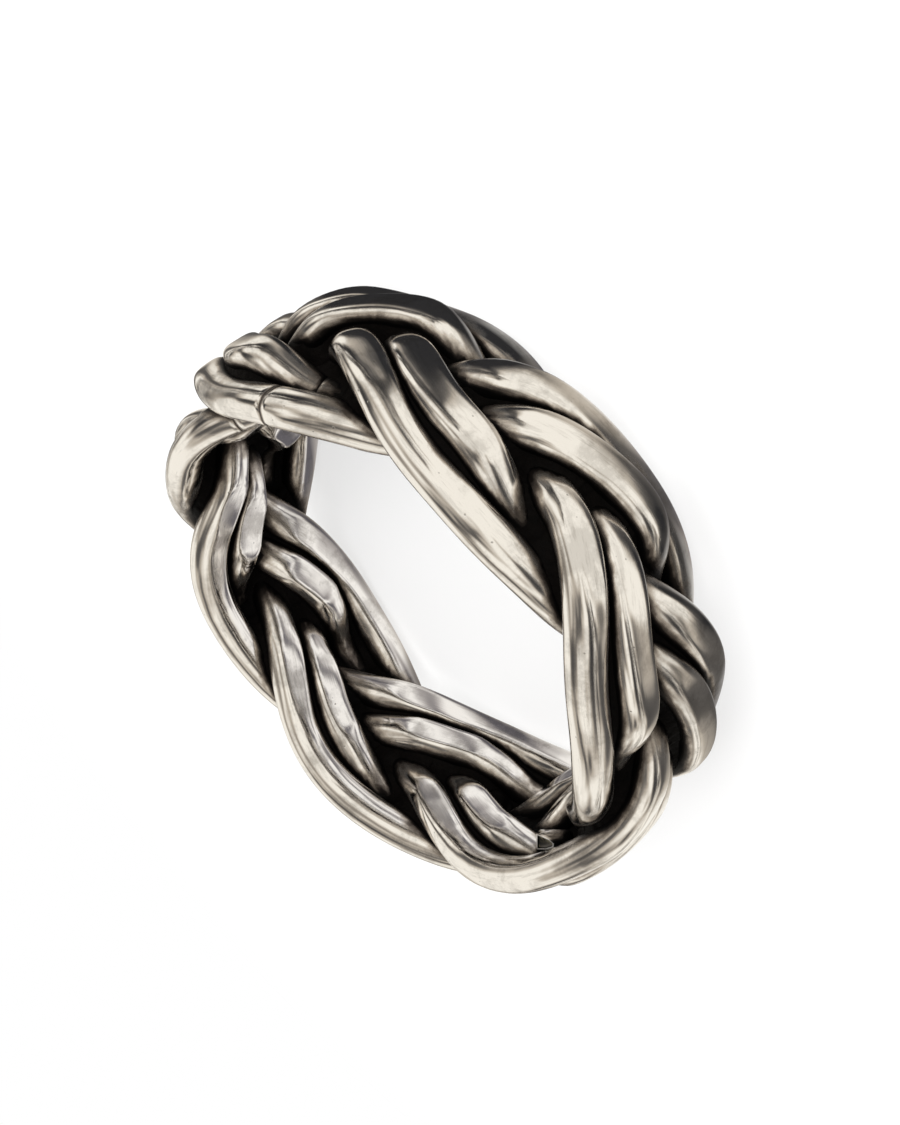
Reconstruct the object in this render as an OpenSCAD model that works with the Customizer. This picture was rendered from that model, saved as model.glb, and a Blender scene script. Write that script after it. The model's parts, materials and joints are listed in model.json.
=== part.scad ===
// Braided band ring: a flat plait of three doubled silver wires, closed into a ring.
// The ring lies on its side, with the finger hole along Z and its lowest bights on Z = 0.

/* [Finger hole] */
// Inside diameter, across the flats that the mandrel pressed into the wires
bore_d = 18.2; // [14:0.1:22]

/* [Wire] */
// Width of each wire, along the band's surface
wire_w = 1.43; // [1:0.01:1.9]
// Thickness of each wire, through the band
wire_t = 1.19; // [0.8:0.01:1.6]
// Clearance between wires that lie side by side or cross
wire_gap = 0.12; // [0.08:0.01:0.2]
// Clearance between the two cut ends that meet at a joint
end_gap = 0.15; // [0.1:0.05:0.5]

/* [Weave] */
// Thickness of the band between its worn faces, counted in layers of wire
band_layers = 2.36; // [2.2:0.02:2.8]

/* [Cut tail] */
// Length of the cut wire end that shows in a recess inside the band
tail_l = 1.9; // [1.2:0.1:2.2]
// Diameter of the tail at its cut face
tail_d = 0.86; // [0.5:0.02:0.9]
// Diameter of the tail where it goes under the next pair
tail_root_d = 0.6; // [0.4:0.02:0.66]
// How far the cut face slopes along the tail
tail_slope = 0.9; // [0:0.1:1]

/* [Mesh] */
// Sides of each wire's section
wire_sides = 10; // [8:2:12]
// Rings of points along a wire from one bight to the next
rings_per_pass = 20; // [14:1:24]

/* [Hidden] */

// The pitch of wires side by side, and of wires that cross, sets the whole weave
wire_pitch = wire_w + wire_gap;
layer_pitch = wire_t + wire_gap;
band_t = band_layers * layer_pitch;
bore_r = bore_d / 2;
outer_r = bore_r + band_t;
weave_r = bore_r + band_t / 2;

// A pair of wires goes round three times, from bight to bight, before it meets itself.
// One row for each bight in that order, near and far edge by turns:
// place: how far round the ring, in turns
// reach: the pair's distance from the middle of the band, in wire pitches, near edge positive
// rise: how far the pair swings in and out on its way to the next bight, in layers
// shift: how far out the pair sits in the bight itself, in layers
PLACE = 0;
REACH = 1;
RISE = 2;
SHIFT = 3;
bights = [
    [0.033,  1.46, 0.59, -0.01],
    [0.232, -1.78, 0.66,  0.02],
    [0.476,  1.77, 0.49,  0.07],
    [0.706, -1.54, 0.69, -0.14],
    [0.919,  1.78, 0.64, -0.01],
    [1.083, -1.95, 0.64, -0.04],
    [1.324,  1.62, 0.56,  0.14],
    [1.561, -1.56, 0.53,  0.02],
    [1.783,  1.62, 0.56,  0.13],
    [1.969, -1.63, 0.66,  0.00],
    [2.161,  1.34, 0.71, -0.07],
    [2.404, -1.66, 0.57, -0.03],
    [2.634,  1.70, 0.54,  0.10],
    [2.849, -1.55, 0.70, -0.04]
];
rounds = 3;
passes = len(bights);

// Every pass from bight to bight is woven alike: over the next pair, then under the one after.
// One row for each eighth of a pass. The leading wire is on the outside of the bight it leaves.
// lift: height over the middle of the band, as a share of the pass's rise
// spread: distance from the middle of the pair, in wire pitches
LEAD_LIFT = 0;
TRAIL_LIFT = 1;
LEAD_SPREAD = 2;
TRAIL_SPREAD = 3;
weave = [
    [-0.24,  0.86, 0.45, 0.48],
    [-0.03,  1.13, 0.45, 0.45],
    [ 0.61,  1.20, 0.46, 0.48],
    [ 1.15,  1.11, 0.44, 0.55],
    [ 0.68, -0.43, 0.42, 0.57],
    [-1.07, -1.09, 0.45, 0.57],
    [-0.89, -0.74, 0.46, 0.56],
    [-0.96, -0.52, 0.47, 0.54]
];
eighths = len(weave);

// Where each wire is cut and joined, counted in passes from the first bight
upper_cuts = [3.92, 8.70, 13.70];
lower_cuts = [3.85, 8.62, 13.62];

// Step, in passes, over which the slope of a pair and of a wire is taken
slope_step = 1 / 16;

// Cubic curve through p1 and p2, with p0 and p3 as its neighbours
function through(p0, p1, p2, p3, t) =
    0.5 * (2 * p1 + (p2 - p0) * t + (2 * p0 - 5 * p1 + 4 * p2 - p3) * t * t
    + (3 * p1 - p0 - 3 * p2 + p3) * t * t * t);

function wrap(i, n) = i - n * floor(i / n);
function bight(i, column) = bights[wrap(i, passes)][column];
function place(i) = bight(i, PLACE) + rounds * floor(i / passes);

// How far round the ring the pair is after u passes, in degrees
function pair_turn(u) =
    let (i = floor(u))
    360 * through(place(i - 1), place(i), place(i + 1), place(i + 2), u - i);

// A column of the bights, eased from one bight to the next
function eased(u, column) =
    let (i = floor(u), w = (1 - cos(180 * (u - i))) / 2)
    bight(i, column) * (1 - w) + bight(i + 1, column) * w;

function pair_z(u) = wire_pitch * eased(u, REACH);

// A column pair of the weave, for the wire on one side: +1 is the upper wire, -1 the lower
function leads(i, side) = (wrap(i, 2) == 0) == (side > 0);
function woven_at(k, side, lead, trail) =
    weave[wrap(k, eighths)][leads(floor(k / eighths), side) ? lead : trail];
function woven(u, side, lead, trail) =
    let (k = floor(u * eighths), t = u * eighths - k)
    through(woven_at(k - 1, side, lead, trail), woven_at(k, side, lead, trail),
        woven_at(k + 1, side, lead, trail), woven_at(k + 2, side, lead, trail), t);

// Centre of a wire after u passes
function wire_point(u, side) =
    let (
        rise = layer_pitch * eased(u, RISE),
        r = weave_r + layer_pitch * eased(u, SHIFT) + rise * woven(u, side, LEAD_LIFT, TRAIL_LIFT),
        spread = side * wire_pitch * woven(u, side, LEAD_SPREAD, TRAIL_SPREAD),
        along = weave_r * (pair_turn(u + slope_step) - pair_turn(u - slope_step)) * PI / 180,
        across = pair_z(u + slope_step) - pair_z(u - slope_step),
        run = norm([along, across]),
        turn = pair_turn(u) - spread * across / run / weave_r * 180 / PI
    )
    [r * cos(turn), r * sin(turn), pair_z(u) + spread * along / run];

function unit(v) = v / norm(v);

// Pressed flat where it stands past the finger hole or the outside of the band
function worn(p, inner, outer) =
    let (r = norm([p.x, p.y]), s = min(max(r, inner), outer) / r)
    [p.x * s, p.y * s, p.z];

// Oval ring of points round a wire, square to its run
function section(c, run, w, t) =
    let (
        edge = unit(cross([c.x, c.y, 0], run)),
        face = cross(run, edge)
    )
    [for (k = [0 : wire_sides - 1])
        let (a = 360 * k / wire_sides)
        worn(c + edge * (w / 2 * cos(a)) + face * (t / 2 * sin(a)), bore_r, outer_r)];

// Rings of points of one wire, from its own cut to the next, trimmed so that two ends don't touch
function wire_rings(cuts, number, side) =
    let (
        pass_l = 2 * PI * weave_r * rounds / passes,
        trim = end_gap / pass_l / 2,
        start = cuts[number] + trim,
        stop = (number + 1 < len(cuts) ? cuts[number + 1] : cuts[0] + passes) - trim,
        count = ceil((stop - start) * rings_per_pass),
        ahead = slope_step / 2
    )
    [for (i = [0 : count])
        let (
            u = start + (stop - start) * i / count,
            run = unit(wire_point(u + ahead, side) - wire_point(u - ahead, side))
        )
        section(wire_point(u, side), run, wire_w, wire_t)];

// The ring rests on its far edge, which only the lower wires reach
lowest = min([for (number = [0 : 2], ring = wire_rings(lower_cuts, number, -1), p = ring) p.z]);

// The tail lies in the recess inside the band: its turn, depth in layers and height in pitches
tail_turn = 0.481;
tail_depths = [-0.52, -0.28];
tail_heights = [1.42, 1.34];
function tail_point(end) =
    let (
        r = weave_r + layer_pitch * tail_depths[end],
        turn = 360 * tail_turn + end * tail_l / weave_r * 180 / PI
    )
    [r * cos(turn), r * sin(turn), wire_pitch * tail_heights[end]];

// Closed tube through a list of rings, with a fan over each end
module tube(rings) {
    n = wire_sides;
    last = len(rings) - 1;
    points = [each for (ring = rings) ring];
    middles = [for (ring = [rings[0], rings[last]])
        [for (axis = [0 : 2]) ([for (p = ring) p[axis]] * [for (k = [1 : n]) 1]) / n]];
    first_middle = len(points);
    walls = [for (i = [0 : last - 1], k = [0 : n - 1])
        let (a = i * n + k, b = i * n + (k + 1) % n)
        each [[a, b + n, b], [a, a + n, b + n]]];
    start_fan = [for (k = [0 : n - 1]) [k, (k + 1) % n, first_middle]];
    end_fan = [for (k = [0 : n - 1])
        [last * n + (k + 1) % n, last * n + k, first_middle + 1]];
    polyhedron(concat(points, middles), concat(walls, start_fan, end_fan));
}

module wire(cuts, number, side) {
    translate([0, 0, -lowest]) tube(wire_rings(cuts, number, side));
}

module strand_1_upper_wire() {
    color("silver") wire(upper_cuts, 0, 1);
}

module strand_1_lower_wire() {
    color("silver") wire(lower_cuts, 0, -1);
}

module strand_2_upper_wire() {
    color("gainsboro") wire(upper_cuts, 1, 1);
}

module strand_2_lower_wire() {
    color("gainsboro") wire(lower_cuts, 1, -1);
}

module strand_3_upper_wire() {
    color("lightgray") wire(upper_cuts, 2, 1);
}

module strand_3_lower_wire() {
    color("lightgray") wire(lower_cuts, 2, -1);
}

// The cut face slopes so that it looks into the finger hole
module cut_tail() {
    start = tail_point(0);
    root = tail_point(1);
    run = unit(root - start);
    inward = -unit([start.x, start.y, 0]);
    face = [for (p = section(start, run, tail_d, tail_d))
        p + run * (tail_slope * ((p - start) * inward) / tail_d)];
    color("silver") translate([0, 0, -lowest])
        tube([face, section(root, run, tail_root_d, tail_root_d)]);
}

strand_1_upper_wire();
strand_1_lower_wire();
strand_2_upper_wire();
strand_2_lower_wire();
strand_3_upper_wire();
strand_3_lower_wire();
cut_tail();
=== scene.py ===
import json
import math

import bmesh
import bpy
from mathutils import Matrix, Vector
from mathutils.bvhtree import BVHTree


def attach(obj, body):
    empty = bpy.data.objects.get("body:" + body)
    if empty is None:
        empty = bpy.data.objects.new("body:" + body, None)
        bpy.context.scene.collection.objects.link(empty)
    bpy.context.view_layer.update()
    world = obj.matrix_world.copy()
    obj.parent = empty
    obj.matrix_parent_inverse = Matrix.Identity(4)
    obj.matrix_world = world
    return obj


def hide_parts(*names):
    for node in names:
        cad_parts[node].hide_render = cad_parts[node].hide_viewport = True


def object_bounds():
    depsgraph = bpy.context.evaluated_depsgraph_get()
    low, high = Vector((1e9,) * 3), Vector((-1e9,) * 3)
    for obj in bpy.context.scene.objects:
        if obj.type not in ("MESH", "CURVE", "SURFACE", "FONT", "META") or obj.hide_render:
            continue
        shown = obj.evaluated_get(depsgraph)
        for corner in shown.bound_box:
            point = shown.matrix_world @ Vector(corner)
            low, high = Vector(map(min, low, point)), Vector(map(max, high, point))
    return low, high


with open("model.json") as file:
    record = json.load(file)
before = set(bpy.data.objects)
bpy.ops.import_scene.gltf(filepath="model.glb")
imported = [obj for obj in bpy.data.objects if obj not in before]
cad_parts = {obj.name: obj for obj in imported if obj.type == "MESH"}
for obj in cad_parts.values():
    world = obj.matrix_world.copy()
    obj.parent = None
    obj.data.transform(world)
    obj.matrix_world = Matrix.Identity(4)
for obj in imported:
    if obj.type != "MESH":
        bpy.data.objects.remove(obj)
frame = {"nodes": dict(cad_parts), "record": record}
cad_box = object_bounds()
MM = 0.001
# Corners of a CAD mesh that lie nearer to each other than this are one corner
SAME_CORNER = 0.001 * MM


# The plaited wires
# Sterling silver wire, bent by hand over and under in three doubled strands, then driven onto a
# mandrel, which pressed its inner side flat. Filing and polishing wore the crowns of the outside.
WIRES = sorted(name for name in frame["nodes"] if name.endswith("_wire"))
# Fatter than the CAD wires, which keep clearances: neighbours meet, and sink into each other a little
WIRE_W = 1.60 * MM
WIRE_T = 1.33 * MM
WIRE_SIDES = 40
STEPS_PER_CAD_RING = 3
# Rounds of easing that a centre line gets, and how far each pulls a point in and out again
EASING = 8
EASING_PULLS = (0.5, -0.52)
# How far a section is stretched towards a crown before it is cut level, and how round that edge is
PRESSED_INSIDE = 0.30
WORN_OUTSIDE = 0.08
FACET_EDGE = 0.12
# How softly the mandrel and the wear end, and what stays clear of the CAD model's reach
MANDREL_ROUND = 0.06 * MM
WORN_ROUND = 0.35 * MM
EDGE_ROUND = 0.12 * MM
CLEAR = 0.01 * MM
# Width of the hairline between two cut ends that meet, and the rounding of their rims
JOINT_W = 0.006 * MM
END_ROUND = 0.02 * MM
BORE_R = frame["record"]["mounts"][0]["dims"]["r_mm"] * MM
OUTER_R = max(v.co.xy.length for name in WIRES for v in frame["nodes"][name].data.vertices)
MIDDLE_R = (BORE_R + OUTER_R) / 2
# Distances from the middle of the band's thickness between which a crown comes to be faceted
FACET_FROM = 0.25 * MM
FACET_FULL = 0.75 * MM
# How steeply the wire dives through the band, as a share of its run, where the facets fade out
LEVEL_DIVE = 0.12
STEEP_DIVE = 0.40


def cad_centre_line(name):
    """Middles of the CAD wire's rings of corners, from one cut end to the other, anticlockwise."""
    solid = bmesh.new()
    solid.from_mesh(frame["nodes"][name].data)
    bmesh.ops.remove_doubles(solid, verts=solid.verts, dist=SAME_CORNER)
    solid.verts.index_update()
    end = max(solid.verts, key=lambda v: (len(v.link_edges), -v.index))
    ring, seen, middles = {end}, {end}, []
    while ring:
        ring = {edge.other_vert(v) for v in ring for edge in v.link_edges} - seen
        seen |= ring
        if len(ring) > 1:
            corners = sorted(ring, key=lambda v: v.index)
            middles.append(sum((v.co for v in corners), Vector()) / len(corners))
    solid.free()
    turned = sum(p.xy.to_3d().cross(q.xy.to_3d()).z for p, q in zip(middles, middles[1:]))
    return middles if turned > 0 else middles[::-1]


def eased(loop, rounds):
    """The loop with its short kinks eased out, and the long bends kept (Taubin's smoothing)."""
    for _ in range(rounds):
        for share in EASING_PULLS:
            loop = [q.lerp((p + r) / 2, share)
                    for p, q, r in zip(loop[-1:] + loop[:-1], loop, loop[1:] + loop[:1])]
    return loop


def rounded(loop, steps):
    """Catmull-Rom curve through the points of the loop."""
    curve = []
    for p0, p1, p2, p3 in zip(loop[-1:] + loop[:-1], loop, loop[1:] + loop[:1], loop[2:] + loop[:2]):
        for s in range(steps):
            t = s / steps
            curve.append(0.5 * (2 * p1 + (p2 - p0) * t + (2 * p0 - 5 * p1 + 4 * p2 - p3) * t * t
                                + (3 * p1 - p0 - 3 * p2 + p3) * t * t * t))
    return curve


def wire_routes(side):
    """Smooth route of each wire on one side of the strands, from one point before its first cut end
    to one past its last. The wires meet end to end, three times round the finger."""
    names = [name for name in WIRES if name.endswith(side + "_wire")]
    lines = [cad_centre_line(name) for name in names]
    loop, starts = [], []
    for before, line in zip(lines[-1:] + lines[:-1], lines):
        starts.append(len(loop) * STEPS_PER_CAD_RING)
        loop += [(before[-1] + line[0]) / 2] + line[1:-1]
    loop = rounded(eased(loop, EASING), STEPS_PER_CAD_RING)
    routes = {}
    for name, start, stop in zip(names, starts, starts[1:] + [len(loop)]):
        route = [loop[i % len(loop)] for i in range(start - 1, stop + 2)]
        route[1] = route[1].lerp(route[2], JOINT_W / 2 / (route[2] - route[1]).length)
        route[-2] = route[-2].lerp(route[-3], JOINT_W / 2 / (route[-3] - route[-2]).length)
        routes[name] = route
    return routes


def place_of_section(path, i, width, thickness):
    """Matrix that puts a unit circle across the wire, with its Y side turned to the band's outside."""
    middle = path[i]
    run = (path[i + 1] - path[i - 1]).normalized()
    edge = Vector((middle.x, middle.y, 0)).cross(run).normalized()
    face = run.cross(edge)
    turned = Matrix((edge, face, run)).transposed().to_4x4()
    return Matrix.Translation(middle) @ turned @ Matrix.Diagonal((width / 2, thickness / 2, 1, 1))


def soft_limit(value, low, high, round_off):
    """The value held between low and high, with a rounded corner at each limit."""
    for limit, sign in ((low, 1), (high, -1)):
        past = sign * (value - limit)
        if past < round_off:
            past = (past + round_off) ** 2 / (4 * round_off) if past > -round_off else 0
            value = limit + sign * past
    return value


def smooth_step(value, low, high):
    """Rises smoothly from 0 at low to 1 at high."""
    t = min(max((value - low) / (high - low), 0), 1)
    return t * t * (3 - 2 * t)


def faceted(across, up, out, dive):
    """A corner of the unit section, its crown flattened where the wire stands out and runs level."""
    level = 1 - smooth_step(abs(dive), LEVEL_DIVE, STEEP_DIVE)
    worn = WORN_OUTSIDE * level * smooth_step(out, FACET_FROM, FACET_FULL)
    pressed = PRESSED_INSIDE * level * smooth_step(-out, FACET_FROM, FACET_FULL)
    grown = up * (1 + (worn if up > 0 else pressed))
    return across, soft_limit(grown, -1, 1, FACET_EDGE)


def draw_wire(path, width, thickness, sides):
    """Closed wire swept along the path: one ring extruded from station to station, and two ends.
    The path's first and last points lie past the cut ends and only give their direction."""
    wire = bmesh.new()
    side_layer = wire.verts.layers.int.new("side")
    along_layer = wire.verts.layers.float.new("along")
    joint_layer = wire.verts.layers.float.new("joint")
    bmesh.ops.create_circle(wire, segments=sides, radius=1)
    corners = wire.verts[:]
    unit_circle = [v.co.copy() for v in corners]
    for k, v in enumerate(corners):
        v[side_layer] = k
    rim = wire.edges[:]
    rims = [rim]
    travelled = 0
    for i in range(1, len(path) - 1):
        if i > 1:
            grown = bmesh.ops.extrude_edge_only(wire, edges=rim)["geom"]
            corners = [g for g in grown if isinstance(g, bmesh.types.BMVert)]
            rim = [g for g in grown if isinstance(g, bmesh.types.BMEdge)]
            travelled += (path[i] - path[i - 1]).length
        place = place_of_section(path, i, width, thickness)
        out = path[i].xy.length - MIDDLE_R
        dive = place.col[2].xyz.dot(path[i].xy.to_3d().normalized())
        for v in corners:
            across, up, _ = unit_circle[v[side_layer]]
            v.co = place @ Vector((*faceted(across, up, out, dive), 0))
            v[along_layer] = travelled
            v[joint_layer] = 1 if i in (1, len(path) - 2) else 0
    rims.append(rim)
    for edges, i, sign in ((rims[0], 1, -1), (rims[1], len(path) - 2, 1)):
        grown = bmesh.ops.extrude_edge_only(wire, edges=edges)["geom"]
        corners = [g for g in grown if isinstance(g, bmesh.types.BMVert)]
        lip = [g for g in grown if isinstance(g, bmesh.types.BMEdge)]
        middle = path[i]
        run = (path[i + sign] - path[i]).normalized()
        shrink = 1 - 2 * END_ROUND / thickness
        for v in corners:
            v.co = middle + (v.co - middle) * shrink + run * (END_ROUND / 2)
        bmesh.ops.edgeloop_fill(wire, edges=lip)
    return wire


def press_between(wire, clear):
    """Presses the wire to the mandrel, and softly to the worn outside and edges of the band.
    The low limit of the first call and the high limit of the second are out of reach."""
    for v in wire.verts:
        r = v.co.xy.length
        pressed = soft_limit(r, -OUTER_R, OUTER_R - clear, WORN_ROUND)
        pressed = soft_limit(pressed, BORE_R + clear, 2 * OUTER_R, MANDREL_ROUND)
        v.co.x *= pressed / r
        v.co.y *= pressed / r
        for axis in range(3):
            low = cad_box[0][axis] + clear
            high = cad_box[1][axis] - clear
            v.co[axis] = soft_limit(v.co[axis], low, high, EDGE_ROUND)


def unwrap_in_metres(wire, sides, girth):
    """UV map with the length along the wire in U and the length round it in V, both in metres."""
    layer = wire.loops.layers.uv.new("wire")
    side_layer = wire.verts.layers.int["side"]
    along_layer = wire.verts.layers.float["along"]
    for face in wire.faces:
        places = [loop.vert[side_layer] for loop in face.loops]
        wraps = max(places) - min(places) > sides / 2
        for loop, side in zip(face.loops, places):
            turn = side + sides if wraps and side < sides / 2 else side
            loop[layer].uv = (loop.vert[along_layer], turn / sides * girth)


def finished(name, shape, body="root"):
    """Object made of a bmesh, with its normals outward and shaded smooth, riding on its body."""
    bmesh.ops.recalc_face_normals(shape, faces=shape.faces)
    mesh = bpy.data.meshes.new(name)
    shape.to_mesh(mesh)
    shape.free()
    mesh.shade_smooth()
    piece = bpy.data.objects.new(name, mesh)
    bpy.context.scene.collection.objects.link(piece)
    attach(piece, body)
    return piece


wires = []
routes = wire_routes("upper") | wire_routes("lower")
for name, route in routes.items():
    shape = draw_wire(route, WIRE_W, WIRE_T, WIRE_SIDES)
    press_between(shape, CLEAR)
    unwrap_in_metres(shape, WIRE_SIDES, math.pi * (WIRE_W + WIRE_T) / 2)
    piece = finished(name.replace("_wire", "_silver_wire"), shape)
    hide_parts(name)
    wires.append(piece)


# The dark filler in the grooves
# A near-black filler fills every groove with a hollow fillet and closes the gaps of the plait. In the
# grooves it stands for the black oxide, and in the deep gaps it is painted shade. It is one closed
# solid that runs through the wires, and only what stands between them can be seen.
FILLER_REACH = 0.36 * MM
FILLER_BELOW_CROWN = 0.32 * MM
FILLER_GRAIN = 0.16 * MM
FILLER_SIDES = 16
FILLER_SMOOTHINGS = 6
SMOOTHING_PULL = 0.5


def filled_grooves(paths):
    """The fattened wires fused into one closed skin, shrunk back until it shows only in the grooves."""
    swollen = bmesh.new()
    grown = 2 * FILLER_REACH
    for path in paths:
        wire = draw_wire(path, WIRE_W + grown, WIRE_T + grown, FILLER_SIDES)
        mesh = bpy.data.meshes.new("swollen_wire")
        wire.to_mesh(mesh)
        wire.free()
        swollen.from_mesh(mesh)
        bpy.data.meshes.remove(mesh)
    bmesh.ops.recalc_face_normals(swollen, faces=swollen.faces)
    mesh = bpy.data.meshes.new("swollen")
    swollen.to_mesh(mesh)
    swollen.free()
    holder = bpy.data.objects.new("swollen", mesh)
    bpy.context.scene.collection.objects.link(holder)
    fuse = holder.modifiers.new("fuse", "REMESH")
    fuse.mode = "VOXEL"
    fuse.voxel_size = FILLER_GRAIN
    fused = holder.evaluated_get(bpy.context.evaluated_depsgraph_get()).data
    skin = bmesh.new()
    skin.from_mesh(fused)
    bpy.data.objects.remove(holder)
    bpy.data.meshes.remove(mesh)
    skin.normal_update()
    for v, direction in [(v, v.normal.copy()) for v in skin.verts]:
        v.co -= direction * (FILLER_REACH + FILLER_BELOW_CROWN)
    press_between(skin, FILLER_BELOW_CROWN)
    for _ in range(FILLER_SMOOTHINGS):
        bmesh.ops.smooth_vert(skin, verts=skin.verts, factor=SMOOTHING_PULL, use_axis_x=True,
                              use_axis_y=True, use_axis_z=True)
    return skin


# The near-black filler: oxide in the grooves, and painted shade where the gaps of the plait go deep
oxide_and_shade_piece = finished("groove_oxide_and_painted_shade", filled_grooves(routes.values()))


# The cut tail
# A leftover end of one wire, snipped off and tucked into the recess beside the joint. The cutters
# took it off at a slant, and left a flat, dark face on its upper side with a bright burr round it.
# As in the CAD model, it touches no other piece.
BURR_W = 0.06 * MM
BURR_DEPTH = 0.05 * MM
SNIP_SLANT = math.radians(9)
SNIP_ABOVE_AXIS = 0.04 * MM


def linear(hex_colour):
    """Linear RGBA of an sRGB hex colour."""
    channels = [int(hex_colour[i:i + 2], 16) / 255 for i in (1, 3, 5)]
    return [c / 12.92 if c <= 0.04045 else ((c + 0.055) / 1.055) ** 2.4 for c in channels] + [1]


def add(tree, kind, inputs=None, **settings):
    """Adds a node with its settings, and gives each named input its value or link."""
    made = tree.nodes.new(kind)
    for setting, value in settings.items():
        setattr(made, setting, value)
    for socket, value in (inputs or {}).items():
        if isinstance(value, bpy.types.NodeSocket):
            tree.links.new(value, made.inputs[socket])
        else:
            made.inputs[socket].default_value = value
    return made


def new_material(name):
    """Empty material with its node tree, ready for its own surface."""
    material = bpy.data.materials.new(name)
    material.use_nodes = True
    material.node_tree.nodes.clear()
    return material


tail = bmesh.new()
tail.from_mesh(frame["nodes"]["cut_tail"].data)
bmesh.ops.remove_doubles(tail, verts=tail.verts, dist=SAME_CORNER)
fans = sorted(tail.verts, key=lambda v: -len(v.link_edges))[:2]
snipped = max(fans, key=lambda v: v.link_edges[0].calc_length())
root = min(fans, key=lambda v: v.link_edges[0].calc_length())
run = (root.co - snipped.co).normalized()
up = Vector((0, 0, 1))
slant = up * math.cos(SNIP_SLANT) - run * math.sin(SNIP_SLANT)
whole = tail.verts[:] + tail.edges[:] + tail.faces[:]
cut = bmesh.ops.bisect_plane(tail, geom=whole, plane_co=snipped.co + up * SNIP_ABOVE_AXIS,
                             plane_no=slant, clear_outer=True)["geom_cut"]
rim = [g for g in cut if isinstance(g, bmesh.types.BMEdge)]
face = bmesh.ops.edgeloop_fill(tail, edges=rim)["faces"][0]
burr = bmesh.ops.inset_region(tail, faces=[face], thickness=BURR_W, depth=0, use_even_offset=True)
bmesh.ops.inset_region(tail, faces=[face], thickness=BURR_W / 2, depth=-BURR_DEPTH,
                       use_even_offset=True)
face.material_index = 1
for strip in burr["faces"]:
    strip.material_index = 2
tail_piece = finished("cut_tail_silver", tail)
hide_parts("cut_tail")


# The blackened recesses
# The finished ring was blackened in liver of sulphur and polished again, so that the oxide stays
# only where the mop couldn't reach. How far each point is shut in by its neighbours tells where.
REACH_OF_MOP = 2.4 * MM
RAYS = 20
RAY_START = 0.02 * MM
# Share of its weight that a hit loses when it lies as far off as the mop reaches
FAR_FADE = 0.5


def hemisphere(count):
    """Evenly spread directions on the half sphere round +Z, with more of them near the pole."""
    golden = math.pi * (3 - math.sqrt(5))
    rays = []
    for i in range(count):
        up = math.sqrt((i + 0.5) / count)
        flat = math.sqrt(1 - up * up)
        rays.append(Vector((flat * math.cos(i * golden), flat * math.sin(i * golden), up)))
    return rays


def shut_in(pieces, neighbours, attribute):
    """Stores on each point the share of rays that meet something within the mop's reach."""
    corners, faces = [], []
    for piece in pieces + neighbours:
        base = len(corners)
        corners += [v.co.copy() for v in piece.data.vertices]
        faces += [[base + i for i in p.vertices] for p in piece.data.polygons]
    tree = BVHTree.FromPolygons(corners, faces)
    rays = hemisphere(RAYS)
    for piece in pieces:
        shares = []
        for v in piece.data.vertices:
            turn = Vector((0, 0, 1)).rotation_difference(v.normal)
            start = v.co + v.normal * RAY_START
            blocked = 0
            for ray in rays:
                met, _, _, distance = tree.ray_cast(start, turn @ ray, REACH_OF_MOP)
                if met is not None:
                    blocked += 1 - FAR_FADE * distance / REACH_OF_MOP
            shares.append(blocked / RAYS)
        stored = piece.data.attributes.new(attribute, "FLOAT", "POINT")
        stored.data.foreach_set("value", shares)


shut_in(wires + [tail_piece], [oxide_and_shade_piece], "shut_in")

# The oxide: size of its clouds, how ragged they make its edge, how shut in a point is where it
# begins and where it is full, and how near a joint its dark line begins and how dark that is
OXIDE_CLOUD = 0.9 * MM
OXIDE_RAGGED = 0.34
OXIDE_FROM = 0.09
OXIDE_FULL = 0.48
JOINT_FROM = 0.62
JOINT_DARK = 0.62
# The film of tarnish that the mop left: its spots, and its streaks along the wire. Here and below,
# a band is the stretch of a noise over which a mark comes in.
SPOT_SIZE = 1.9 * MM
SPOT_BAND = (0.47, 0.62)
SPOT_TARNISH = 0.32
STREAK_L = 2.6 * MM
STREAK_W = 0.42 * MM
STREAK_BAND = (0.53, 0.62)
STREAK_TARNISH = 0.20
# The marks of use and of the draw plate: how far apart, long, wide, deep and dark they are
PIT_SPACING = 0.62 * MM
PIT_BAND = (0.025, 0.07)
PIT_DEPTH = 0.004 * MM
PIT_SHADE = 0.55
HAIR_L = 1.3 * MM
HAIR_W = 0.07 * MM
HAIR_BAND = (0.70, 0.76)
HAIR_SHADE = 0.55
HAIR_TURN = 1.1
SCRATCH_L = 1.6 * MM
SCRATCH_W = 0.05 * MM
SCRATCH_DEPTH = 0.0012 * MM
SCRATCH_TURN = 0.5
DRAW_MARK_L = 3.0 * MM
DRAW_MARK_W = 0.08 * MM
DRAW_MARK_DEPTH = 0.0004 * MM
DENT_SIZE = 2.4 * MM
DENT_DEPTH = 0.05 * MM
# Roughness of the clean polish, and what tarnish and oxide add to it
POLISH_ROUGH = 0.10
TARNISH_ROUGH = 0.20
OXIDE_ROUGH = 0.3
# How metallic the full oxide still is
OXIDE_METAL = 0.7


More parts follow.
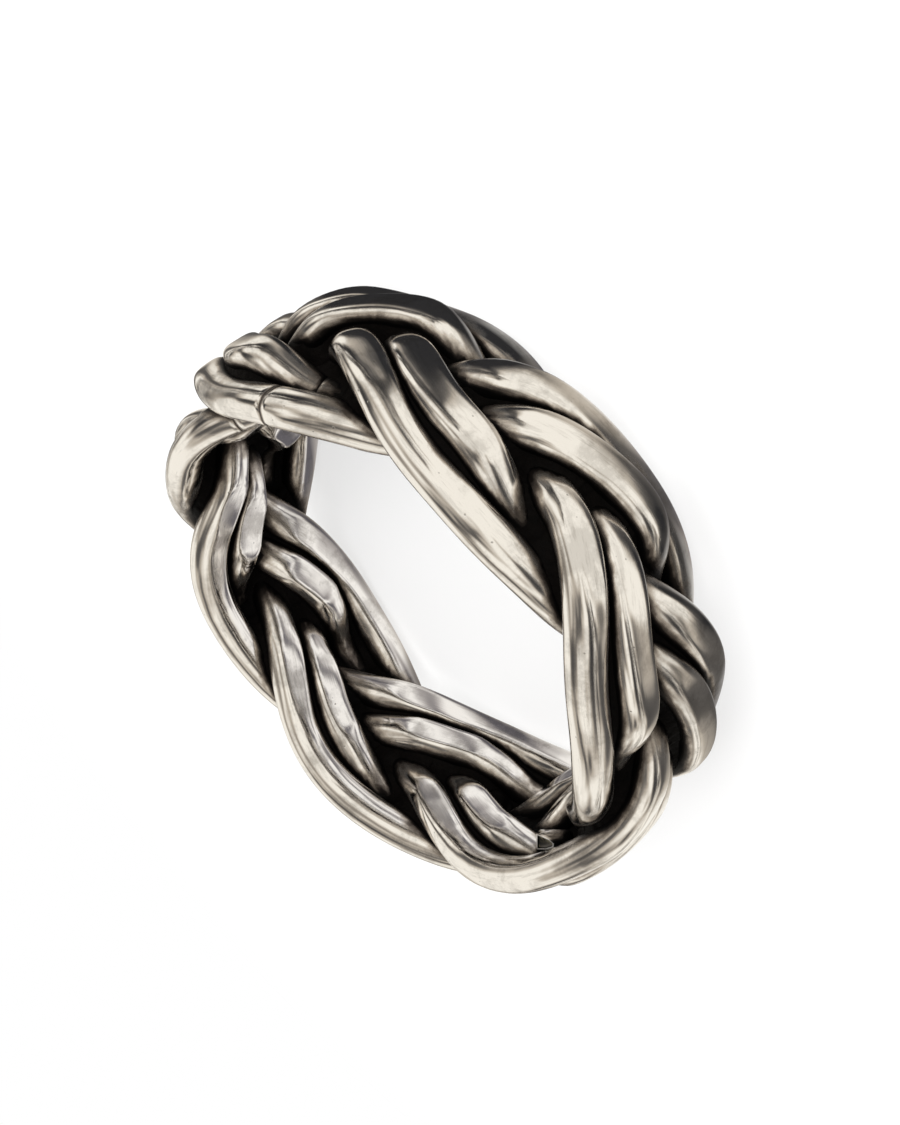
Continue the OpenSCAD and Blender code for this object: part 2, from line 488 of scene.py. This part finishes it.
def sterling_silver():
    """Sterling silver, polished by hand: bright and warm, with a soft mop finish, fine scratches and
    pits, and liver-of-sulphur oxide, brown at its edge and black in the depths."""
    material = new_material("polished_sterling_silver")
    tree = material.node_tree
    place = add(tree, "ShaderNodeTexCoord").outputs["Object"]
    along = add(tree, "ShaderNodeUVMap", uv_map="wire").outputs["UV"]
    shut = add(tree, "ShaderNodeAttribute", attribute_name="shut_in").outputs["Fac"]
    cloud = add(tree, "ShaderNodeTexNoise", {"Vector": place, "Scale": 1 / OXIDE_CLOUD, "Detail": 6,
                                             "Roughness": 0.62}).outputs["Fac"]
    ragged = add(tree, "ShaderNodeMath", {0: cloud, 1: 0.5}, operation="SUBTRACT").outputs[0]
    edge = add(tree, "ShaderNodeMath", {0: ragged, 1: OXIDE_RAGGED, 2: shut},
               operation="MULTIPLY_ADD").outputs[0]
    oxide = add(tree, "ShaderNodeMapRange", {"Value": edge, "From Min": OXIDE_FROM,
                                             "From Max": OXIDE_FULL}).outputs["Result"]
    joint = add(tree, "ShaderNodeAttribute", attribute_name="joint").outputs["Fac"]
    crack = add(tree, "ShaderNodeMapRange", {"Value": joint, "From Min": JOINT_FROM, "From Max": 1.0,
                                             "To Max": JOINT_DARK}).outputs["Result"]
    oxide = add(tree, "ShaderNodeMath", {0: oxide, 1: crack}, operation="MAXIMUM").outputs[0]
    tone = add(tree, "ShaderNodeValToRGB", {"Fac": oxide})
    tone.color_ramp.elements[0].color = linear("#FFFFFF")
    tone.color_ramp.elements[1].color = linear("#0B0A0A")
    for reach, colour in ((0.22, "#C9C3BC"), (0.45, "#6F6862"), (0.70, "#272321")):
        tone.color_ramp.elements.new(reach).color = linear(colour)

    haze = add(tree, "ShaderNodeTexNoise", {"Vector": place, "Scale": 1 / SPOT_SIZE, "Detail": 6,
                                            "Roughness": 0.65}).outputs["Fac"]
    tarnish = add(tree, "ShaderNodeMapRange", {"Value": haze, "From Min": SPOT_BAND[0],
                                               "From Max": SPOT_BAND[1]},
                  interpolation_type="SMOOTHSTEP").outputs["Result"]
    streak_place = add(tree, "ShaderNodeMapping", {"Vector": along,
                                                   "Scale": (1 / STREAK_L, 1 / STREAK_W, 1)})
    streaks = add(tree, "ShaderNodeTexNoise", {"Vector": streak_place.outputs[0], "Scale": 1.0,
                                               "Detail": 7, "Roughness": 0.72}).outputs["Fac"]
    streak = add(tree, "ShaderNodeMapRange", {"Value": streaks, "From Min": STREAK_BAND[0],
                                              "From Max": STREAK_BAND[1]}).outputs["Result"]
    film = add(tree, "ShaderNodeMath", {0: tarnish, 1: SPOT_TARNISH, 2: 0.0}, operation="MULTIPLY_ADD"
               ).outputs[0]
    film = add(tree, "ShaderNodeMath", {0: streak, 1: STREAK_TARNISH, 2: film},
               operation="MULTIPLY_ADD", use_clamp=True).outputs[0]
    polish = add(tree, "ShaderNodeValToRGB", {"Fac": film})
    polish.color_ramp.elements[0].color = linear("#F1EDE8")
    polish.color_ramp.elements[1].color = linear("#7E776F")

    pits = add(tree, "ShaderNodeTexVoronoi", {"Vector": place, "Scale": 1 / PIT_SPACING,
                                              "Randomness": 1}, feature="F1").outputs["Distance"]
    pit = add(tree, "ShaderNodeMapRange", {"Value": pits, "From Min": PIT_BAND[0],
                                           "From Max": PIT_BAND[1]}).outputs["Result"]
    hair_place = add(tree, "ShaderNodeMapping", {"Vector": along, "Rotation": (0, 0, HAIR_TURN),
                                                 "Scale": (1 / HAIR_L, 1 / HAIR_W, 1)})
    hairs = add(tree, "ShaderNodeTexNoise", {"Vector": hair_place.outputs[0], "Scale": 1.0,
                                             "Detail": 2, "Roughness": 0.6}).outputs["Fac"]
    hair = add(tree, "ShaderNodeMapRange", {"Value": hairs, "From Min": HAIR_BAND[0],
                                            "From Max": HAIR_BAND[1], "To Min": 1.0,
                                            "To Max": HAIR_SHADE}).outputs["Result"]
    speck = add(tree, "ShaderNodeMapRange", {"Value": pit, "To Min": PIT_SHADE, "To Max": 1}
                ).outputs["Result"]
    speck = add(tree, "ShaderNodeMath", {0: speck, 1: hair}, operation="MULTIPLY").outputs[0]
    clean = add(tree, "ShaderNodeMix", {0: 1.0, 6: polish.outputs[0], 7: tone.outputs[0]},
                data_type="RGBA", blend_type="MULTIPLY").outputs[2]
    coloured = add(tree, "ShaderNodeVectorMath", {0: clean, 3: speck}, operation="SCALE").outputs[0]

    scratch_place = add(tree, "ShaderNodeMapping", {"Vector": along, "Rotation": (0, 0, SCRATCH_TURN),
                                                    "Scale": (1 / SCRATCH_L, 1 / SCRATCH_W, 1)})
    scratches = add(tree, "ShaderNodeTexNoise", {"Vector": scratch_place.outputs[0], "Scale": 1.0,
                                                 "Detail": 3, "Roughness": 0.7}).outputs["Fac"]
    draw_place = add(tree, "ShaderNodeMapping", {"Vector": along,
                                                 "Scale": (1 / DRAW_MARK_L, 1 / DRAW_MARK_W, 1)})
    draw_marks = add(tree, "ShaderNodeTexNoise", {"Vector": draw_place.outputs[0], "Scale": 1.0,
                                                  "Detail": 2, "Roughness": 0.6}).outputs["Fac"]
    dents = add(tree, "ShaderNodeTexNoise", {"Vector": place, "Scale": 1 / DENT_SIZE,
                                             "Detail": 2, "Roughness": 0.5}).outputs["Fac"]
    dent_bump = add(tree, "ShaderNodeBump", {"Height": dents, "Distance": DENT_DEPTH, "Strength": 1})
    pit_bump = add(tree, "ShaderNodeBump", {"Height": pit, "Distance": PIT_DEPTH, "Strength": 1,
                                            "Normal": dent_bump.outputs[0]})
    draw_bump = add(tree, "ShaderNodeBump", {"Height": draw_marks, "Distance": DRAW_MARK_DEPTH,
                                             "Strength": 1, "Normal": pit_bump.outputs[0]})
    scratch_bump = add(tree, "ShaderNodeBump", {"Height": scratches, "Distance": SCRATCH_DEPTH,
                                                "Strength": 1, "Normal": draw_bump.outputs[0]})
    dull = add(tree, "ShaderNodeMath", {0: film, 1: TARNISH_ROUGH, 2: POLISH_ROUGH},
               operation="MULTIPLY_ADD").outputs[0]
    rough = add(tree, "ShaderNodeMath", {0: oxide, 1: OXIDE_ROUGH, 2: dull}, operation="MULTIPLY_ADD",
                use_clamp=True).outputs[0]
    metal = add(tree, "ShaderNodeMapRange", {"Value": oxide, "To Min": 1.0, "To Max": OXIDE_METAL}
                ).outputs["Result"]
    surface = add(tree, "ShaderNodeBsdfPrincipled", {"Base Color": coloured, "Metallic": metal,
                                                     "Roughness": rough, "Specular IOR Level": 0.1,
                                                     "Normal": scratch_bump.outputs[0]})
    add(tree, "ShaderNodeOutputMaterial", {"Surface": surface.outputs[0]})
    return material


def snipped_silver():
    """Silver as the cutters left it: torn and dull, grey in its hollows and straw-coloured above."""
    material = new_material("snipped_sterling_silver")
    tree = material.node_tree
    place = add(tree, "ShaderNodeTexCoord").outputs["Object"]
    torn = add(tree, "ShaderNodeTexNoise", {"Vector": place, "Scale": 1 / (0.3 * MM), "Detail": 4}
               ).outputs["Fac"]
    tone = add(tree, "ShaderNodeValToRGB", {"Fac": torn})
    tone.color_ramp.elements[0].position = 0.50
    tone.color_ramp.elements[0].color = linear("#6E6B66")
    tone.color_ramp.elements[1].position = 0.68
    tone.color_ramp.elements[1].color = linear("#D9CFA6")
    bump = add(tree, "ShaderNodeBump", {"Height": torn, "Distance": 0.06 * MM, "Strength": 1})
    surface = add(tree, "ShaderNodeBsdfPrincipled", {"Base Color": tone.outputs[0], "Metallic": 0.9,
                                                     "Roughness": 0.4, "Normal": bump.outputs[0]})
    add(tree, "ShaderNodeOutputMaterial", {"Surface": surface.outputs[0]})
    return material


def burnished_burr():
    """The thin lip that the cutters drew up round the snipped face, rubbed bright again."""
    material = new_material("burnished_silver_burr")
    tree = material.node_tree
    place = add(tree, "ShaderNodeTexCoord").outputs["Object"]
    nicks = add(tree, "ShaderNodeTexNoise", {"Vector": place, "Scale": 1 / (0.2 * MM), "Detail": 3}
                ).outputs["Fac"]
    tone = add(tree, "ShaderNodeValToRGB", {"Fac": nicks})
    tone.color_ramp.elements[0].color = linear("#A9A296")
    tone.color_ramp.elements[1].color = linear("#F4F1EC")
    bump = add(tree, "ShaderNodeBump", {"Height": nicks, "Distance": 0.02 * MM, "Strength": 1})
    surface = add(tree, "ShaderNodeBsdfPrincipled", {"Base Color": tone.outputs[0], "Metallic": 0.6,
                                                     "Roughness": 0.45, "Normal": bump.outputs[0]})
    add(tree, "ShaderNodeOutputMaterial", {"Surface": surface.outputs[0]})
    return material


def oxide_and_shade_material():
    """Near-black filler: the oxide in the grooves, and painted shade in the deep gaps. Sooty black,
    with hardly a gleam.
    """
    material = new_material("oxide_and_painted_shade_black")
    tree = material.node_tree
    place = add(tree, "ShaderNodeTexCoord").outputs["Object"]
    grains = add(tree, "ShaderNodeTexNoise", {"Vector": place, "Scale": 1 / (0.25 * MM), "Detail": 4}
                 ).outputs["Fac"]
    tone = add(tree, "ShaderNodeValToRGB", {"Fac": grains})
    tone.color_ramp.elements[0].color = linear("#020202")
    tone.color_ramp.elements[1].color = linear("#080605")
    bump = add(tree, "ShaderNodeBump", {"Height": grains, "Distance": 0.05 * MM, "Strength": 1})
    surface = add(tree, "ShaderNodeBsdfPrincipled", {"Base Color": tone.outputs[0], "Metallic": 0.0,
                                                     "Roughness": 0.45, "Specular IOR Level": 0.02,
                                                     "Normal": bump.outputs[0]})
    add(tree, "ShaderNodeOutputMaterial", {"Surface": surface.outputs[0]})
    return material


silver = sterling_silver()
for piece in wires + [tail_piece]:
    piece.data.materials.append(silver)
oxide_and_shade_piece.data.materials.append(oxide_and_shade_material())
tail_piece.data.materials.append(snipped_silver())
tail_piece.data.materials.append(burnished_burr())


# The table
# A plain pale table for the ring to lie on, so wide that its edge is lost in the white ground.
# What the silver mirrors in it is painted, and isn't what the camera sees of it.
TABLE_R = 0.6
table_shape = bmesh.new()
bmesh.ops.create_circle(table_shape, segments=96, radius=TABLE_R, cap_ends=True)
table_mesh = bpy.data.meshes.new("table")
table_shape.to_mesh(table_mesh)
table_shape.free()
table = bpy.data.objects.new("table", table_mesh)
bpy.context.scene.collection.objects.link(table)


# How bright the studio round the table is, as the silver mirrors it: bearing in degrees, and level.
# In place of the table and the soft boxes the silver mirrors this, beside its own wires.
SURROUND = [(-180, 0.62), (-150, 0.47), (-126, 0.50), (-112, 0.90), (-66, 0.90), (-54, 0.36),
            (-10, 0.34), (8, 0.50), (50, 0.52), (75, 0.56), (105, 0.54), (135, 0.54), (165, 0.60),
            (180, 0.62)]
BEARING_WAVER = 1.0
# Size of the clouds that break up what the silver mirrors in the table, outside and inside the ring
OUTER_CLOUD = 14 * MM
HOLE_CLOUD = 5 * MM
# Tones of the dark walls and of the white cards, which meet at a crisp edge, and how patchy they are
CARD_TONES = [(0.30, "#2F2F31"), (0.44, "#65625F"), (0.52, "#C4BCB0"), (0.64, "#FFFCF4")]
PATCHINESS = 1.0
MIRROR_STRENGTH = 1.0

# A dark patch in what the silver mirrors, on the viewer's side, for the ring's own image in the table
DARK_BEARING = math.radians(-72)
DARK_SIDE = (math.cos(DARK_BEARING), math.sin(DARK_BEARING), 0)
DARK_SIDE_FROM = 0.35
DARK_SIDE_FULL = 0.75
DARK_IMAGE = -0.45
DARK_UNTIL = 14 * MM
DARK_GONE = 18 * MM

# What the silver sees through the finger hole: a painted reflection, with paler and bluer patches
# painted in the table
HOLE_TONES = [(0.38, "#66646A"), (0.45, "#B4B0AF"), (0.54, "#FFFEFC")]

# The table glows by itself, in part under the ring and fully past its shadow, so it fades to white
GLOW_UNDER_RING = 0.55
GLOW_FROM = 14 * MM
GLOW_FULL = 60 * MM


def toned(tree, level, tones):
    """Colour of a level between 0 and 1, by a list of levels and their tones."""
    ramp = add(tree, "ShaderNodeValToRGB", {"Fac": level})
    first, last = ramp.color_ramp.elements
    first.position, first.color = tones[0][0], linear(tones[0][1])
    last.position, last.color = tones[-1][0], linear(tones[-1][1])
    for position, tone in tones[1:-1]:
        ramp.color_ramp.elements.new(position).color = linear(tone)
    return ramp.outputs[0]


def surround(tree, direction, stray):
    """How bright the studio round the table is in a direction, from 0 to 1."""
    parts = add(tree, "ShaderNodeSeparateXYZ", {"Vector": direction}).outputs
    bearing = add(tree, "ShaderNodeMath", {0: parts["Y"], 1: parts["X"]}, operation="ARCTAN2"
                  ).outputs[0]
    bearing = add(tree, "ShaderNodeMath", {0: stray, 1: BEARING_WAVER, 2: bearing},
                  operation="MULTIPLY_ADD").outputs[0]
    turn = add(tree, "ShaderNodeMapRange", {"Value": bearing, "From Min": -math.pi,
                                            "From Max": math.pi}).outputs["Result"]
    levels = add(tree, "ShaderNodeValToRGB", {"Fac": turn})
    levels.color_ramp.elements[0].color = [SURROUND[0][1]] * 3 + [1]
    levels.color_ramp.elements[-1].color = [SURROUND[-1][1]] * 3 + [1]
    for degrees, level in SURROUND[1:-1]:
        levels.color_ramp.elements.new((degrees + 180) / 360).color = [level] * 3 + [1]
    return levels.outputs[0]


def white_laminate():
    """White laminate with a satin face, which glows for the camera and is painted for the silver."""
    material = new_material("white_laminate")
    tree = material.node_tree
    laminate = add(tree, "ShaderNodeBsdfPrincipled", {"Base Color": linear("#F4F4F4"),
                                                      "Roughness": 0.35, "Specular IOR Level": 0.3})
    place = add(tree, "ShaderNodeTexCoord").outputs["Object"]
    distance = add(tree, "ShaderNodeVectorMath", {0: place}, operation="LENGTH").outputs["Value"]
    clouds = add(tree, "ShaderNodeTexNoise", {"Vector": place, "Scale": 1 / OUTER_CLOUD, "Detail": 1}
                 ).outputs["Fac"]
    stray = add(tree, "ShaderNodeMath", {0: clouds, 1: 0.5}, operation="SUBTRACT").outputs[0]
    level = surround(tree, place, stray)
    bearing = add(tree, "ShaderNodeVectorMath", {0: place}, operation="NORMALIZE").outputs[0]
    turned = add(tree, "ShaderNodeVectorMath", {0: bearing, 1: DARK_SIDE}, operation="DOT_PRODUCT"
                 ).outputs["Value"]
    near_side = add(tree, "ShaderNodeMapRange", {"Value": turned, "From Min": DARK_SIDE_FROM,
                                                 "From Max": DARK_SIDE_FULL},
                    interpolation_type="SMOOTHSTEP").outputs["Result"]
    near = add(tree, "ShaderNodeMapRange", {"Value": distance, "From Min": DARK_GONE,
                                            "From Max": DARK_UNTIL}, interpolation_type="SMOOTHSTEP"
               ).outputs["Result"]
    dark = add(tree, "ShaderNodeMath", {0: near, 1: near_side}, operation="MULTIPLY").outputs[0]
    level = add(tree, "ShaderNodeMath", {0: dark, 1: DARK_IMAGE, 2: level}, operation="MULTIPLY_ADD"
                ).outputs[0]
    level = add(tree, "ShaderNodeMath", {0: stray, 1: PATCHINESS, 2: level},
                operation="MULTIPLY_ADD").outputs[0]
    outer = toned(tree, level, CARD_TONES)
    patches = add(tree, "ShaderNodeTexNoise", {"Vector": place, "Scale": 1 / HOLE_CLOUD, "Detail": 1}
                  ).outputs["Fac"]
    inner = toned(tree, patches, HOLE_TONES)
    outside = add(tree, "ShaderNodeMapRange", {"Value": distance, "From Min": BORE_R,
                                               "From Max": OUTER_R}).outputs["Result"]
    shade = add(tree, "ShaderNodeMix", {0: outside, 6: inner, 7: outer}, data_type="RGBA").outputs[2]
    mirrored = add(tree, "ShaderNodeEmission", {"Color": shade, "Strength": MIRROR_STRENGTH})
    glossy_ray = add(tree, "ShaderNodeLightPath").outputs["Is Glossy Ray"]
    glow = add(tree, "ShaderNodeMapRange", {"Value": distance, "From Min": GLOW_FROM,
                                            "From Max": GLOW_FULL, "To Min": GLOW_UNDER_RING},
               interpolation_type="SMOOTHSTEP").outputs["Result"]
    lit = add(tree, "ShaderNodeEmission", {"Color": linear("#FFFFFF"), "Strength": 1.0})
    seen = add(tree, "ShaderNodeMixShader", {0: glow, 1: laminate.outputs[0], 2: lit.outputs[0]})
    both = add(tree, "ShaderNodeMixShader", {0: glossy_ray, 1: seen.outputs[0], 2: mirrored.outputs[0]})
    add(tree, "ShaderNodeOutputMaterial", {"Surface": both.outputs[0]})
    return material


table.data.materials.append(white_laminate())


# The light
# Soft studio light: three large soft boxes, and white cards round the table with darker gaps
# between them. The silver mirrors the cards, which gives it its contrast, but not the soft boxes.
CEILING_LEVEL = 0.60
CEILING_FROM = 0.15
CEILING_FULL = 0.5
PANEL_SCALE = 1.6
PLAIN_LEVEL = 0.95
world = bpy.data.worlds.new("studio")
bpy.context.scene.world = world
world.use_nodes = True
studio = world.node_tree
studio.nodes.clear()
direction = add(studio, "ShaderNodeTexCoord").outputs["Generated"]
panels = add(studio, "ShaderNodeTexNoise", {"Vector": direction, "Scale": PANEL_SCALE, "Detail": 1}
             ).outputs["Fac"]
uneven = add(studio, "ShaderNodeMath", {0: panels, 1: 0.5}, operation="SUBTRACT").outputs[0]
level = surround(studio, direction, uneven)
upward = add(studio, "ShaderNodeSeparateXYZ", {"Vector": direction}).outputs["Z"]
above = add(studio, "ShaderNodeMapRange", {"Value": upward, "From Min": CEILING_FROM,
                                           "From Max": CEILING_FULL},
            interpolation_type="SMOOTHSTEP").outputs["Result"]
level = add(studio, "ShaderNodeMix", {0: above, 2: level, 3: CEILING_LEVEL}).outputs[0]
level = add(studio, "ShaderNodeMath", {0: uneven, 1: PATCHINESS, 2: level},
            operation="MULTIPLY_ADD").outputs[0]
panel_shade = toned(studio, level, CARD_TONES)
mirrored_world = add(studio, "ShaderNodeBackground", {"Color": panel_shade,
                                                      "Strength": MIRROR_STRENGTH})
plain_world = add(studio, "ShaderNodeBackground", {"Color": linear("#FFFFFF"),
                                                   "Strength": PLAIN_LEVEL})
glossy_ray = add(studio, "ShaderNodeLightPath").outputs["Is Glossy Ray"]
lighting = add(studio, "ShaderNodeMixShader", {0: glossy_ray, 1: plain_world.outputs[0],
                                               2: mirrored_world.outputs[0]})
backdrop = add(studio, "ShaderNodeBackground", {"Color": linear("#FFFFFF"), "Strength": 1.0})
camera_ray = add(studio, "ShaderNodeLightPath").outputs["Is Camera Ray"]
either = add(studio, "ShaderNodeMixShader", {0: camera_ray, 1: lighting.outputs[0],
                                             2: backdrop.outputs[0]})
add(studio, "ShaderNodeOutputWorld", {"Surface": either.outputs[0]})

# Place of each soft box in metres, its width and height in metres, and its power in watts
SOFT_BOXES = {
    "key": ((0.13, -0.20, 0.17), 0.24, 0.24, 1.10),
    "fill": ((-0.24, -0.06, 0.10), 0.10, 0.20, 0.12),
    "back": ((0.02, 0.22, 0.20), 0.24, 0.10, 0.12),
}
for name, (spot, width, height, power) in SOFT_BOXES.items():
    light = bpy.data.lights.new(name, "AREA")
    light.shape = "RECTANGLE"
    light.size = width
    light.size_y = height
    light.energy = power
    box = bpy.data.objects.new(name, light)
    box.visible_glossy = False
    aim = Vector(spot).to_track_quat("Z", "Y").to_matrix().to_4x4()
    box.matrix_world = Matrix.Translation(spot) @ aim
    bpy.context.scene.collection.objects.link(box)


# The camera
# Fitted to the plait in the photograph, and rolled, because the ring stands upright there and lies
# on its side here.
RING_MIDDLE = Vector((0, 0, 4.444 * MM))
ELEVATION = math.radians(31.84)
ROLL = math.radians(-129.05)
DISTANCE = 56.74 * MM
LENS = 46.93
SHIFT = (0.0216, 0.0343)
camera_data = bpy.data.cameras.new("camera")
camera_data.lens = LENS
camera_data.shift_x, camera_data.shift_y = SHIFT
camera_data.clip_start = 0.001
camera = bpy.data.objects.new("camera", camera_data)
camera.matrix_world = (Matrix.Translation(RING_MIDDLE)
                       @ Matrix.Rotation(math.pi / 2 - ELEVATION, 4, "X")
                       @ Matrix.Rotation(ROLL, 4, "Z")
                       @ Matrix.Translation((0, 0, DISTANCE)))
bpy.context.scene.collection.objects.link(camera)
bpy.context.scene.camera = camera
bpy.context.scene.view_settings.view_transform = "Standard"
